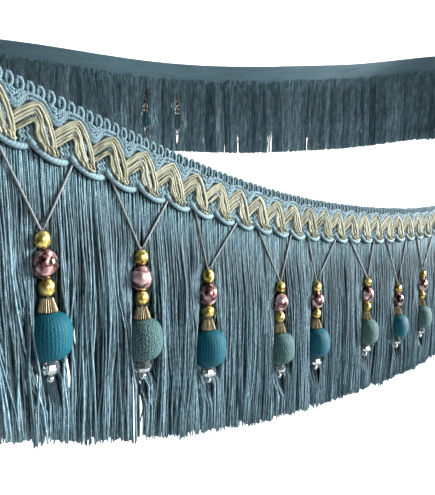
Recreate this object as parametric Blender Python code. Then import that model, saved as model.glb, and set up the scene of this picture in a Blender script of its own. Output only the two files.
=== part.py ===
"""A length of beaded bullion fringe, hung by its heading in one loose turn.

Sizes are in metres. +X is to the right and +Y away from a viewer who stands at the near stretch, +Z is up.
The origin is the hanging point on the heading's top edge, at the crest of the turn.
A place on the trim is given by three lengths: along is the distance from the near cut end, measured on
the heading's top edge, down is the distance below that edge, and out is the distance in front of the
heading's flat reverse.
"""

import math

import bmesh
import bpy
import numpy as np
from mathutils import Vector

MM = 0.001

# Driving sizes of the trim
SCALLOP = 14 * MM
SCALLOPS = 105
TRIM_LENGTH = SCALLOPS * SCALLOP
TRIM_HEIGHT = 115 * MM
HEADING_HEIGHT = 25 * MM
HEADING_THICKNESS = 2.8 * MM
GAP = 0.35 * MM

# The route of the heading's top edge as x, y, z, from the near cut end round the turn to the far cut end
ROUTE = (
    (-0.3730, -0.6075, -0.1475),
    (-0.3290, -0.5635, -0.1680),
    (-0.2765, -0.5065, -0.1870),
    (-0.2240, -0.4530, -0.1965),
    (-0.1650, -0.3965, -0.2000),
    (-0.1240, -0.3545, -0.1970),
    (-0.0810, -0.3025, -0.1845),
    (-0.0355, -0.2540, -0.1635),
    (-0.0010, -0.2130, -0.1410),
    (0.0310, -0.1675, -0.1135),
    (0.0545, -0.1275, -0.0860),
    (0.0670, -0.0945, -0.0600),
    (0.0690, -0.0665, -0.0370),
    (0.0590, -0.0395, -0.0165),
    (0.0355, -0.0150, -0.0025),
    (0.0000, 0.0000, 0.0000),
    (-0.0420, 0.0010, -0.0040),
    (-0.1030, -0.0115, -0.0125),
    (-0.1750, -0.0270, -0.0185),
    (-0.2380, -0.0365, -0.0220),
    (-0.3140, -0.0425, -0.0220),
    (-0.3845, -0.0490, -0.0180),
    (-0.4635, -0.0580, -0.0090),
    (-0.5280, -0.0620, 0.0000),
    (-0.6000, -0.0620, 0.0090),
)
ROUTE_SAMPLES = 6000
UP = Vector((0, 0, 1))

# Heading: places of its columns within a scallop, and how far its lower edge hangs there
HEADING_COLUMNS = (
    {"share": 0.0, "lower_edge": 21.0 * MM},
    {"share": 0.35, "lower_edge": 24.3 * MM},
    {"share": 0.7, "lower_edge": HEADING_HEIGHT},
)
HEADING_LIP = 0.9 * MM
VALLEY_DOWN = 13 * MM
VALLEY_OUT = 1.4 * MM
LOWER_LIP_OUT = 2.3 * MM
RECESS_TOP = 16.5 * MM

# Zigzag braid that lies in the heading's valley
ZIGZAG_POINTS = (
    {"share": 0.3, "down": 9.2 * MM, "back_out": 2.6 * MM},
    {"share": 0.7, "down": 18.2 * MM, "back_out": 2.8 * MM},
)
ZIGZAG_FRONT_OUT = 4.4 * MM
ZIGZAG_HALF_WIDTH = 2.9 * MM

# Fringe: locks fused to short tapes behind the heading's lower edge
LOCKS = 245
LOCKS_PER_TAPE = 14
LOCK_PITCH = TRIM_LENGTH / LOCKS
LOCK_WIDTH = 4.9 * MM
TAPE_TOP = 17 * MM
TAPE_BOTTOM = 26.5 * MM
TAPE_THICKNESS = 2.2 * MM
LOCK_BELLY = {"down": 80 * MM, "depth": 3.2 * MM, "sway": 0.7 * MM, "wave": 17 * MM}
LOCK_TIP = {"down": TRIM_HEIGHT, "depth": 3.6 * MM, "sway": 1.6 * MM, "wave": 31 * MM}
LOCK_TIP_BACK = 0.5 * MM
LOCK_TIP_SHARE = 0.5
LOCK_OUT_BEHIND_BALL = -6.5 * MM
LOCK_OUT_BETWEEN = 2.6 * MM
RAGGED = {"mean": -0.6 * MM, "most": 1.4 * MM, "wave": 0.52 * MM}

# Bead drops: one to every third scallop. After a break the row goes on one scallop later, colours swapped.
DROPS = 34
SCALLOPS_PER_DROP = 3
FIRST_SCALLOP = 2
FIRST_DROP_AFTER_BREAK = 11
DROP_COLOURS = ("teal", "sage")

# A drop is a V of thread, then the beads from the top down, each turned from radius and down
BALL_RADIUS = 8.25 * MM
DROP_OUT = 2.4 * MM
DROP_SIDES = 6
THREAD_TOP_DOWN = 22.0 * MM
THREAD_HALF = 0.42 * MM
DROP_PROFILE = (
    {"part": "gold bead", "radius": 1.0 * MM, "down": 44.5 * MM},
    {"part": "gold bead", "radius": 2.8 * MM, "down": 47.3 * MM},
    {"part": "neck", "radius": 1.3 * MM, "down": 50.1 * MM},
    {"part": "copper bead", "radius": 4.6 * MM, "down": 54.8 * MM},
    {"part": "neck", "radius": 1.3 * MM, "down": 59.5 * MM},
    {"part": "lower gold bead", "radius": 2.8 * MM, "down": 62.3 * MM},
    {"part": "lower neck", "radius": 1.4 * MM, "down": 65.1 * MM},
    {"part": "bead cap", "radius": 3.5 * MM, "down": 70.2 * MM},
    {"part": "ball", "radius": 7.2 * MM, "down": 73.6 * MM},
    {"part": "ball", "radius": BALL_RADIUS, "down": 78.6 * MM},
    {"part": "ball", "radius": 7.2 * MM, "down": 83.6 * MM},
    {"part": "neck", "radius": 2.0 * MM, "down": 86.6 * MM},
    {"part": "crystal", "radius": 3.7 * MM, "down": 89.2 * MM},
    {"part": "crystal", "radius": 1.4 * MM, "down": 91.9 * MM},
)
LOWER_GOLD_HEIGHT = 5.6 * MM
DROPS_WITHOUT_LOWER_GOLD = (6,)

# How far the drops in front, and six on the far stretch, swing along the trim and hang below their height.
# The others do so in a gentle wave.
NEAR_DROPS = (
    {"along": 2.3 * MM, "down": 1.2 * MM},
    {"along": -0.8 * MM, "down": -2.0 * MM},
    {"along": -6.1 * MM, "down": -0.5 * MM},
    {"along": 4.2 * MM, "down": 0.5 * MM},
    {"along": -5.2 * MM, "down": 0.0},
    {"along": 6.2 * MM, "down": -0.5 * MM},
    {"along": 3.3 * MM, "down": 1.0 * MM},
    {"along": -3.3 * MM, "down": 0.8 * MM},
)
FIRST_FAR_DROP = 24
FAR_DROPS = (
    {"along": -5.7 * MM, "down": 0.0},
    {"along": 7.0 * MM, "down": 0.5 * MM},
    {"along": 7.0 * MM, "down": 0.0},
    {"along": 1.0 * MM, "down": -0.5 * MM},
    {"along": 4.0 * MM, "down": 0.0},
    {"along": 4.3 * MM, "down": 0.0},
)
DROP_WAVES = {"along": (4.0 * MM, 2.4), "down": (1.0 * MM, 3.1)}

# Finishes: linear colour, roughness, metallic
FINISHES = {
    "gimp_blue": ((0.33, 0.47, 0.55), 0.7, 0.0),
    "braid_cream": ((0.60, 0.55, 0.38), 0.6, 0.0),
    "fringe_blue": ((0.09, 0.19, 0.25), 0.6, 0.0),
    "ball_teal": ((0.01, 0.18, 0.24), 0.7, 0.0),
    "ball_sage": ((0.13, 0.26, 0.27), 0.7, 0.0),
}


def natural_cubic(knots, values):
    """A function that gives the smooth curve through the values, with no bending at its two ends."""
    steps = np.diff(knots)
    count = len(knots)
    matrix = np.eye(count)
    right = np.zeros((count, values.shape[1]))
    for i in range(1, count - 1):
        matrix[i, i - 1 : i + 2] = (steps[i - 1], 2 * (steps[i - 1] + steps[i]), steps[i])
        slopes = (values[i + 1] - values[i]) / steps[i] - (values[i] - values[i - 1]) / steps[i - 1]
        right[i] = 6 * slopes
    bends = np.linalg.solve(matrix, right)

    def curve(at):
        k = np.clip(np.searchsorted(knots, at, side="right") - 1, 0, count - 2)
        step = steps[k][:, None]
        before = (knots[k + 1] - at)[:, None] / step
        after = (at - knots[k])[:, None] / step
        straight = before * values[k] + after * values[k + 1]
        bent = (before**3 - before) * bends[k] + (after**3 - after) * bends[k + 1]
        return straight + bent * step**2 / 6

    return curve


def measured_route():
    """Points along the route, and their distances from its start."""
    rows = np.array(ROUTE)
    knots = np.concatenate([[0], np.cumsum(np.linalg.norm(np.diff(rows, axis=0), axis=1))])
    points = natural_cubic(knots, rows)(np.linspace(0, knots[-1], ROUTE_SAMPLES))
    lengths = np.linalg.norm(np.diff(points, axis=0), axis=1)
    return points, np.concatenate([[0], np.cumsum(lengths)])


ROUTE_POINTS, ROUTE_LENGTHS = measured_route()


def edge_point(along):
    """The point on the heading's top edge at this distance from the near end."""
    return Vector([float(np.interp(along, ROUTE_LENGTHS, ROUTE_POINTS[:, i])) for i in range(3)])


def directions(along):
    """The level directions along the trim and out of its front face."""
    chord = edge_point(along + MM) - edge_point(along - MM)
    forward = Vector((chord.x, chord.y, 0)).normalized()
    return forward, Vector((forward.y, -forward.x, 0))


def place(along, down, out):
    """The point at these three lengths on the trim. It hangs plumb, so down is vertical."""
    return edge_point(along) + directions(along)[1] * out - UP * down


def finish(name):
    colour, roughness, metallic = FINISHES[name]
    material = bpy.data.materials.get(name) or bpy.data.materials.new(name)
    material.use_nodes = True
    shader = material.node_tree.nodes["Principled BSDF"]
    shader.inputs["Base Color"].default_value = (*colour, 1)
    shader.inputs["Roughness"].default_value = roughness
    shader.inputs["Metallic"].default_value = metallic
    return material


def make_object(name, bm, finish_name):
    """Turns the mesh into a named object with its faces pointing out."""
    bmesh.ops.recalc_face_normals(bm, faces=bm.faces)
    mesh = bpy.data.meshes.new(name)
    bm.to_mesh(mesh)
    bm.free()
    mesh.materials.append(finish(finish_name))
    obj = bpy.data.objects.new(name, mesh)
    bpy.context.scene.collection.objects.link(obj)
    return obj


def join_rings(bm, first, second):
    """Faces between two closed rings of equally many points."""
    for i in range(len(first)):
        j = (i + 1) % len(first)
        bm.faces.new((first[i], first[j], second[j], second[i]))


def loft(bm, sections):
    """Joins closed sections of equally many points, one after the other, and caps both ends."""
    rings = [[bm.verts.new(point) for point in section] for section in sections]
    for first, second in zip(rings, rings[1:]):
        join_rings(bm, first, second)
    bm.faces.new(rings[0])
    bm.faces.new(rings[-1])


def heading_section(along, lower_edge):
    """The heading's cut face: a valley in front, and a flat reverse that leaves the fringe its recess."""
    outline = (
        (0, 0),
        (HEADING_LIP, HEADING_THICKNESS),
        (VALLEY_DOWN, VALLEY_OUT),
        (lower_edge, LOWER_LIP_OUT),
        (RECESS_TOP, 0),
    )
    return [place(along, down, out) for down, out in outline]


def make_heading():
    """The blue gimp heading, one piece from end to end, with a scalloped lower edge."""
    sections = []
    for scallop in range(SCALLOPS):
        for column in HEADING_COLUMNS:
            along = (scallop + column["share"]) * SCALLOP
            sections.append(heading_section(along, column["lower_edge"]))
    sections.append(heading_section(TRIM_LENGTH, HEADING_COLUMNS[0]["lower_edge"]))
    bm = bmesh.new()
    loft(bm, sections)
    make_object("heading_gimp", bm, "gimp_blue")


def make_zigzag():
    """The cream braid that runs up and down over the heading, one peak and one trough to each scallop."""
    sections = []
    for scallop in range(SCALLOPS):
        for point in ZIGZAG_POINTS:
            along = (scallop + point["share"]) * SCALLOP
            upper = point["down"] - ZIGZAG_HALF_WIDTH
            lower = point["down"] + ZIGZAG_HALF_WIDTH
            outline = (
                (upper, point["back_out"]),
                (upper, ZIGZAG_FRONT_OUT),
                (lower, ZIGZAG_FRONT_OUT),
                (lower, point["back_out"]),
            )
            sections.append([place(along, down, out) for down, out in outline])
    bm = bmesh.new()
    loft(bm, sections)
    make_object("zigzag_braid", bm, "braid_cream")


def drop_swing(drop):
    """How far a drop hangs to one side of its middle scallop joint, and below the common height."""
    for first, rows in ((0, NEAR_DROPS), (FIRST_FAR_DROP, FAR_DROPS)):
        if first <= drop < first + len(rows):
            return rows[drop - first]["along"], rows[drop - first]["down"]
    along_most, along_step = DROP_WAVES["along"]
    down_most, down_step = DROP_WAVES["down"]
    return along_most * math.sin(along_step * drop), down_most * math.sin(down_step * drop)


def drop_joint(drop):
    """The scallop joint between the two that a drop's thread is sewn to."""
    late = 1 if drop >= FIRST_DROP_AFTER_BREAK else 0
    return (SCALLOPS_PER_DROP * drop + FIRST_SCALLOP + late) * SCALLOP


def drop_along(drop):
    """Where a drop's beads hang: below its middle joint, or a little to one side."""
    return drop_joint(drop) + drop_swing(drop)[0]


def drop_colour(drop):
    late = 1 if drop >= FIRST_DROP_AFTER_BREAK else 0
    return DROP_COLOURS[(drop + late) % len(DROP_COLOURS)]


def lock_out(along):
    """How far out a lock's front stands at the height of the balls, which nestle in the fringe."""
    to_ball = min(abs(along - drop_along(drop)) for drop in range(DROPS))
    return LOCK_OUT_BEHIND_BALL if to_ball < BALL_RADIUS + LOCK_WIDTH / 2 + MM else LOCK_OUT_BETWEEN


def lock_sections(along):
    """A lock's three-sided sections at its belly and its tip: two points in front and one behind."""
    ragged = RAGGED["mean"] + RAGGED["most"] * math.sin(along / RAGGED["wave"])
    tip_out = LOCK_TIP_SHARE * lock_out(along) - LOCK_TIP_BACK
    middle = along
    sections = []
    for level, out, longer in ((LOCK_BELLY, lock_out(along), 0), (LOCK_TIP, tip_out, ragged)):
        middle += level["sway"] * math.sin(along / level["wave"])
        down = level["down"] + longer
        left = place(middle - LOCK_WIDTH / 2, down, out)
        right = place(middle + LOCK_WIDTH / 2, down, out)
        sections.append((left, right, place(middle, down, out - level["depth"])))
    return sections


def make_fringe(number, first_lock, last_lock):
    """One tape with its locks. Only their roots are fused, into the tape's lower face."""
    bm = bmesh.new()
    front = -GAP
    back = front - TAPE_THICKNESS
    start = (first_lock * LOCK_PITCH) + GAP
    end = (last_lock * LOCK_PITCH) - GAP

    def corner(along, down, out):
        return bm.verts.new(place(along, down, out))

    tops = [(corner(start, TAPE_TOP, front), corner(start, TAPE_TOP, back))]
    fronts = [corner(start, TAPE_BOTTOM, front)]
    backs = [corner(start, TAPE_BOTTOM, back)]
    bm.faces.new((tops[0][0], tops[0][1], backs[0], fronts[0]))
    for lock in range(first_lock, last_lock):
        middle = (lock + 0.5) * LOCK_PITCH
        cell_end = end if lock == last_lock - 1 else (lock + 1) * LOCK_PITCH
        left = corner(middle - LOCK_WIDTH / 2, TAPE_BOTTOM, front)
        right = corner(middle + LOCK_WIDTH / 2, TAPE_BOTTOM, front)
        behind = corner(middle, TAPE_BOTTOM, back)
        top = (corner(cell_end, TAPE_TOP, front), corner(cell_end, TAPE_TOP, back))
        next_front = corner(cell_end, TAPE_BOTTOM, front)
        next_back = corner(cell_end, TAPE_BOTTOM, back)
        bm.faces.new((tops[-1][0], fronts[-1], left, right, next_front, top[0]))
        bm.faces.new((tops[-1][1], backs[-1], behind, next_back, top[1]))
        bm.faces.new((tops[-1][0], tops[-1][1], top[1], top[0]))
        bm.faces.new((fronts[-1], left, behind, backs[-1]))
        bm.faces.new((right, next_front, next_back, behind))
        ring = (left, right, behind)
        for section in lock_sections(middle):
            lower = [bm.verts.new(point) for point in section]
            join_rings(bm, ring, lower)
            ring = lower
        bm.faces.new(ring)
        tops.append(top)
        fronts.append(next_front)
        backs.append(next_back)
    bm.faces.new((tops[-1][0], tops[-1][1], backs[-1], fronts[-1]))
    make_object(f"fringe_{number:02d}", bm, "fringe_blue")


def drop_profile(drop):
    """The turned profile of a drop, as pairs of radius and down. One drop was strung a gold bead short."""
    lower = drop_swing(drop)[1]
    if drop not in DROPS_WITHOUT_LOWER_GOLD:
        return [(row["radius"], row["down"] + lower) for row in DROP_PROFILE]
    names = [row["part"] for row in DROP_PROFILE]
    missing = names.index("lower gold bead")
    rows = [(row["radius"], row["down"] + lower + LOWER_GOLD_HEIGHT) for row in DROP_PROFILE[:missing]]
    return rows + [(row["radius"], row["down"] + lower) for row in DROP_PROFILE[missing + 2 :]]


def make_thread_leg(bm, corners, anchor, forward, outward):
    """One leg of the V of thread, from half of the top bead's upper ring to its anchor in the heading."""
    middle = sum((vert.co for vert in corners), Vector()) / len(corners)
    parting = corners[0].co.copy()
    leg = (anchor - middle).normalized()
    inner_side = outward.cross(leg).normalized()
    if inner_side.dot(UP) < 0:
        inner_side.negate()
    face = bm.faces.new(corners)
    grown = bmesh.ops.extrude_discrete_faces(bm, faces=[face])["faces"][0]
    for vert in grown.verts:
        inner = abs((vert.co - parting).dot(forward)) < THREAD_HALF / 2
        in_front = (vert.co - middle).dot(outward) > 0
        vert.co = anchor + inner_side * (THREAD_HALF if inner else -THREAD_HALF)
        vert.co += outward * (THREAD_HALF if in_front else -THREAD_HALF)


def make_drop(drop):
    """One string of beads, turned about a plumb axis, on its V of thread."""
    forward, outward = directions(drop_along(drop))
    centre = edge_point(drop_along(drop)) + outward * DROP_OUT
    bm = bmesh.new()
    rings = []
    for radius, down in drop_profile(drop):
        ring = []
        for side in range(DROP_SIDES):
            angle = 2 * math.pi * (side + 0.5) / DROP_SIDES
            level = forward * radius * math.cos(angle) + outward * radius * math.sin(angle)
            ring.append(bm.verts.new(centre + level - UP * down))
        if rings:
            join_rings(bm, rings[-1], ring)
        rings.append(ring)
    bm.faces.new(rings[-1])

    # Points 1 and 4 of the top ring face out and back, so they part its right half from its left half
    for half, way in (((4, 5, 0, 1), 1), ((1, 2, 3, 4), -1)):
        anchor = place(drop_joint(drop) + way * SCALLOP, THREAD_TOP_DOWN, HEADING_THICKNESS / 2)
        make_thread_leg(bm, [rings[0][i] for i in half], anchor, forward, outward)
    colour = drop_colour(drop)
    make_object(f"drop_{drop + 1:02d}_{colour}", bm, f"ball_{colour}")


def make_part():
    for obj in list(bpy.data.objects):
        bpy.data.objects.remove(obj)
    make_heading()
    make_zigzag()
    for number, first_lock in enumerate(range(0, LOCKS, LOCKS_PER_TAPE), start=1):
        make_fringe(number, first_lock, min(first_lock + LOCKS_PER_TAPE, LOCKS))
    for drop in range(DROPS):
        make_drop(drop)


make_part()
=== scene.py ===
# %% [markdown]
# # A length of beaded bullion fringe
#
# Bullion fringe is a trimming: a woven heading on top, and a skirt of cords that hang from its lower edge.
# This one also carries strings of beads, each ending in a ball wrapped with thread. It hangs in one open
# turn, so we see the face of the near stretch and the plain reverse of the far one. We load the solids of
# the part first. They fix the size and the place of everything, and the cells below dress them with yarns,
# beads and threads.

# %% Load the solids
import math

import bmesh
import bpy
import numpy as np
from mathutils import Matrix, Vector


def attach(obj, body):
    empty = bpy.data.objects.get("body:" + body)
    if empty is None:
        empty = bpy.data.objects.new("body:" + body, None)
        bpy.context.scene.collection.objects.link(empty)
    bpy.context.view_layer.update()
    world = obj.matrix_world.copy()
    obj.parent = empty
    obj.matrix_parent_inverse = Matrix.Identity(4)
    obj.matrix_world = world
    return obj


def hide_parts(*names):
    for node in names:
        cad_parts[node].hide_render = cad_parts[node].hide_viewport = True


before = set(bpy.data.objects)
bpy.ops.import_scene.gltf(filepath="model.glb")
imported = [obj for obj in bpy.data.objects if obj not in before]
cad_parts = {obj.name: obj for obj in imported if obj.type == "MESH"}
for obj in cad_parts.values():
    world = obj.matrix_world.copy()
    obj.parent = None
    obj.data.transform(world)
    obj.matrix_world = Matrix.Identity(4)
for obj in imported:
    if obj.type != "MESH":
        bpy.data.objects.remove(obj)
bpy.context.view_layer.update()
MM = 0.001

# %% [markdown]
# ## The route of the trim
#
# A trim is a flat strip, so anything on it is easiest to place by three lengths, in millimetres: how far
# along from the near cut end, how far down from the top edge, and how far out in front of the reverse. The
# top edge follows a smooth curve through the points below, as it does in the solids. The strip hangs plumb,
# so down is vertical, and out is level and square to the edge.

# %% The top edge as a smooth curve
ROUTE = (
    (-0.3730, -0.6075, -0.1475),
    (-0.3290, -0.5635, -0.1680),
    (-0.2765, -0.5065, -0.1870),
    (-0.2240, -0.4530, -0.1965),
    (-0.1650, -0.3965, -0.2000),
    (-0.1240, -0.3545, -0.1970),
    (-0.0810, -0.3025, -0.1845),
    (-0.0355, -0.2540, -0.1635),
    (-0.0010, -0.2130, -0.1410),
    (0.0310, -0.1675, -0.1135),
    (0.0545, -0.1275, -0.0860),
    (0.0670, -0.0945, -0.0600),
    (0.0690, -0.0665, -0.0370),
    (0.0590, -0.0395, -0.0165),
    (0.0355, -0.0150, -0.0025),
    (0.0000, 0.0000, 0.0000),
    (-0.0420, 0.0010, -0.0040),
    (-0.1030, -0.0115, -0.0125),
    (-0.1750, -0.0270, -0.0185),
    (-0.2380, -0.0365, -0.0220),
    (-0.3140, -0.0425, -0.0220),
    (-0.3845, -0.0490, -0.0180),
    (-0.4635, -0.0580, -0.0090),
    (-0.5280, -0.0620, 0.0000),
    (-0.6000, -0.0620, 0.0090),
)
ROUTE_SAMPLES = 6000


def smooth_curve(knots, values, at):
    """The natural cubic through the values: the shape that a thin springy strip takes."""
    steps = np.diff(knots)
    count = len(knots)
    matrix = np.eye(count)
    right = np.zeros((count, values.shape[1]))
    for i in range(1, count - 1):
        matrix[i, i - 1 : i + 2] = (steps[i - 1], 2 * (steps[i - 1] + steps[i]), steps[i])
        slopes = (values[i + 1] - values[i]) / steps[i] - (values[i] - values[i - 1]) / steps[i - 1]
        right[i] = 6 * slopes
    bends = np.linalg.solve(matrix, right)
    k = np.clip(np.searchsorted(knots, at, side="right") - 1, 0, count - 2)
    step = steps[k][:, None]
    before = (knots[k + 1] - at)[:, None] / step
    after = (at - knots[k])[:, None] / step
    straight = before * values[k] + after * values[k + 1]
    bent = (before**3 - before) * bends[k] + (after**3 - after) * bends[k + 1]
    return straight + bent * step**2 / 6


def lengths_along(points):
    """How far along a chain of points each one lies."""
    return np.concatenate([[0], np.cumsum(np.linalg.norm(np.diff(points, axis=0), axis=1))])


route = np.array(ROUTE)
route_knots = lengths_along(route)
edge_samples = smooth_curve(route_knots, route, np.linspace(0, route_knots[-1], ROUTE_SAMPLES)) / MM
edge_lengths = lengths_along(edge_samples)
print("length of the top edge:", round(edge_lengths[-1], 1), "mm")

# %% From lengths on the trim to points in space


def edge_points(along):
    """Points on the top edge, in millimetres."""
    return np.stack([np.interp(along, edge_lengths, edge_samples[:, i]) for i in range(3)], axis=-1)


def unit(vectors):
    """Vectors of length one in the same directions."""
    return vectors / np.maximum(np.linalg.norm(vectors, axis=-1, keepdims=True), 1e-12)


def outward_at(along):
    """The level direction out of the trim's face, square to the way in which the trim runs."""
    inside = np.clip(along, 1.0, edge_lengths[-1] - 1.0)
    chord = edge_points(inside + 1.0) - edge_points(inside - 1.0)
    chord[..., 2] = 0
    forward = unit(chord)
    return np.stack([forward[..., 1], -forward[..., 0], np.zeros(forward.shape[:-1])], axis=-1)


def place(along, down, out):
    """Points in metres from lengths on the trim in millimetres."""
    along, down, out = np.broadcast_arrays(*(np.asarray(x, float) for x in (along, down, out)))
    points = edge_points(along) + outward_at(along) * out[..., None]
    points[..., 2] -= down
    return points * MM


CREST_OF_THE_TURN = 866.2
print("top edge at the crest of the turn:", np.round(place(CREST_OF_THE_TURN, 0, 0), 3))

# %% [markdown]
# ## The camera
#
# The camera stands close to the near stretch and looks along it, a little downwards, with the photograph's
# angle of view. So the near scallops are large and the far stretch is small.

# %% Camera
CAMERA_POINT = (-0.2968, -0.7514, -0.1909)
CAMERA_PITCH = 6.0
PICTURE_HEIGHT = 495
FOCAL_PIXELS = 520
SENSOR = 36.0

camera_data = bpy.data.cameras.new("photo_camera")
camera_data.sensor_width = SENSOR
camera_data.lens = FOCAL_PIXELS / PICTURE_HEIGHT * SENSOR
camera_data.clip_start = 0.01
camera = bpy.data.objects.new("photo_camera", camera_data)
camera.location = CAMERA_POINT
camera.rotation_euler = (math.radians(90 - CAMERA_PITCH), 0, 0)
bpy.context.scene.collection.objects.link(camera)
bpy.context.scene.camera = camera
bpy.context.scene.view_settings.view_transform = "Standard"
print("lens:", round(camera_data.lens, 2), "mm on a", SENSOR, "mm sensor")

# %% [markdown]
# ## Colours and nodes
#
# A colour picked from a picture is an sRGB value, and a shader wants linear light, so one function turns a
# hex colour into that. A second one adds a node, from its kind, the output that we use, what goes into its
# sockets, and its own settings.

# %% Helpers for materials

# The colour sockets of a mix node share their names with others, so we call them by number
MIX_A, MIX_B, MIX_OUT = 6, 7, 2


def colour(hex_code):
    """A linear colour with alpha from an sRGB hex code."""
    channels = [int(hex_code[i : i + 2], 16) / 255 for i in (1, 3, 5)]
    return [c / 12.92 if c <= 0.04045 else ((c + 0.055) / 1.055) ** 2.4 for c in channels] + [1.0]


def fill_sockets(tree, node, sockets):
    """Gives each socket a number, a hex colour as linear light, or the output of another node."""
    for socket, value in sockets.items():
        if isinstance(value, bpy.types.NodeSocket):
            tree.links.new(value, node.inputs[socket])
        else:
            node.inputs[socket].default_value = colour(value) if isinstance(value, str) else value


def add_node(tree, kind, output, sockets=(), **settings):
    """Adds a shader node, sets its properties, fills its sockets, and returns one of its outputs."""
    node = tree.nodes.new("ShaderNode" + kind)
    for name, value in settings.items():
        setattr(node, name, value)
    fill_sockets(tree, node, dict(sockets))
    return node.outputs[output]


def new_material(name, **constants):
    """An empty material, its node tree and its shader, with constant values on the shader's sockets."""
    material = bpy.data.materials.new(name)
    material.use_nodes = True
    tree = material.node_tree
    shader = tree.nodes["Principled BSDF"]
    fill_sockets(tree, shader, {socket.replace("_", " "): value for socket, value in constants.items()})
    return material, tree, shader


print("mid blue in linear light:", [round(c, 3) for c in colour("#5F8294")])

# %% [markdown]
# ## Floor and light
#
# The stage is a plain white sweep: a floor that curves up into a wall, so no horizon shows. The trim hangs
# well above it. The main soft light stands to the right, because the beads are bright on their right side
# and dark on their left. A weaker one at the front right opens the shadows, and a third one whitens the
# sweep.

# %% A white sweep
SWEEP_FLOOR = -1.1
SWEEP_BACK = 3.0
SWEEP_FRONT = -3.0
SWEEP_HALF = 5.0
SWEEP_TOP = 4.0
SWEEP_RADIUS = 1.2
SWEEP_STEPS = 16

bpy.ops.object.select_all(action="DESELECT")
bpy.ops.mesh.primitive_plane_add(size=1)
sweep = bpy.context.object
sweep.name = "white_sweep"
mesh = bmesh.new()
profile = [(SWEEP_FRONT, SWEEP_FLOOR)]
for i in range(SWEEP_STEPS + 1):
    turn = math.pi / 2 * i / SWEEP_STEPS
    y = SWEEP_BACK - SWEEP_RADIUS + SWEEP_RADIUS * math.sin(turn)
    profile.append((y, SWEEP_FLOOR + SWEEP_RADIUS * (1 - math.cos(turn))))
profile.append((SWEEP_BACK, SWEEP_TOP))
rows = [[mesh.verts.new((x, y, z)) for x in (-SWEEP_HALF, SWEEP_HALF)] for y, z in profile]
for near, far in zip(rows, rows[1:]):
    mesh.faces.new((near[0], near[1], far[1], far[0]))
mesh.to_mesh(sweep.data)
mesh.free()
for face in sweep.data.polygons:
    face.use_smooth = True
glow = {"Emission_Color": "#FFFFFF", "Emission_Strength": 0.2}
paper = new_material("matt_white_paper", Base_Color="#FAFAFA", Roughness=0.95, **glow)[0]
sweep.data.materials.append(paper)
print("sweep:", len(sweep.data.polygons), "faces")

# %% Soft light
world = bpy.data.worlds.new("white_world")
world.use_nodes = True
background = world.node_tree.nodes["Background"]
background.inputs["Color"].default_value = colour("#FFFFFF")
background.inputs["Strength"].default_value = 0.05
bpy.context.scene.world = world

# Name, place, what it is aimed at, size in metres, watts, and spread in degrees
LIGHTS = (
    ("key_softbox", (1.9, 0.0, 0.25), (-0.15, -0.4, -0.26), 0.7, 30, 60),
    ("front_softbox", (1.4, -2.1, 0.2), (-0.1, -0.3, -0.1), 1.0, 4.5, 60),
    ("sweep_wash", (0.0, 0.9, 1.9), (0.0, 2.6, -0.2), 2.2, 200, 180),
)
for name, at, aim, size, watts, spread in LIGHTS:
    lamp = bpy.data.lights.new(name, "AREA")
    lamp.shape = "SQUARE"
    lamp.size = size
    lamp.energy = watts
    lamp.spread = math.radians(spread)
    holder = bpy.data.objects.new(name, lamp)
    holder.location = at
    holder.rotation_euler = (Vector(at) - Vector(aim)).to_track_quat("Z", "Y").to_euler()
    bpy.context.scene.collection.objects.link(holder)
print("lights:", [row[0] for row in LIGHTS])

# %% [markdown]
# ## Yarns
#
# Nearly everything on the heading is rayon yarn: fine shiny filaments twisted into a cord. Twist shows as
# slanting bands that wind round it. Each cord gets a UV map where one axis counts its turns of twist and
# the other goes once round it. A wave laid diagonally over that map winds like real plies and meets itself
# at the back. Each cord also stores a random shade, because no two dyed yarns catch the light alike.

# %% What every yarn shares

# The scales that give a wave one band per unit: of both axes added up, or of one axis
DIAGONAL_BAND = 0.2 * math.pi
STRAIGHT_BAND = DIAGONAL_BAND / 2


def twist_nodes(tree, plies):
    """The UV map of a cord, a wave with a band for each ply, and the cord's own shade."""
    turns = add_node(tree, "UVMap", "UV", uv_map="twist")
    bands = {"Vector": turns, "Scale": DIAGONAL_BAND * plies, "Distortion": 0.0}
    wave = add_node(tree, "TexWave", "Fac", bands, bands_direction="DIAGONAL")
    return turns, wave, add_node(tree, "Attribute", "Fac", attribute_name="shade")


def finish_shader(tree, shader, share, dark, light, shading=None, height=None, strength=0, distance=0):
    """Colours the shader from dark to light by the share, times the shading, with bumps so many mm high."""
    dyes = {"Factor": share, MIX_A: dark, MIX_B: light}
    base = add_node(tree, "Mix", MIX_OUT, dyes, data_type="RGBA")
    if shading is not None:
        shaded = {"Factor": 1.0, MIX_A: base, MIX_B: shading}
        base = add_node(tree, "Mix", MIX_OUT, shaded, data_type="RGBA", blend_type="MULTIPLY")
    fill_sockets(tree, shader, {"Base Color": base})
    if height is not None:
        bumps = {"Height": height, "Strength": strength, "Distance": distance * MM}
        fill_sockets(tree, shader, {"Normal": add_node(tree, "Bump", "Normal", bumps)})


print("scale for two plies:", round(DIAGONAL_BAND * 2, 3))

# %% [markdown]
# The yarns of the heading differ in dye, in the number of plies and in how dark the painted shade in the
# grooves between plies is. The cream cords are nearly untwisted filaments, so theirs is faint.

# %% Yarns of the heading and the thread


def yarn_material(name, dark, light, plies, groove_shade_depth, **constants):
    """Twisted rayon: a silky sheen along each ply, and painted shade in the grooves between plies."""
    material, tree, shader = new_material(name, **constants)
    _, wave, shade = twist_nodes(tree, plies)
    grooves = {"Value": wave, "From Max": 0.45, "To Min": 1 - groove_shade_depth}
    painted_groove_shade = add_node(tree, "MapRange", "Result", grooves)
    finish_shader(tree, shader, shade, dark, light, painted_groove_shade, wave, strength=0.5, distance=0.15)
    return material


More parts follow.
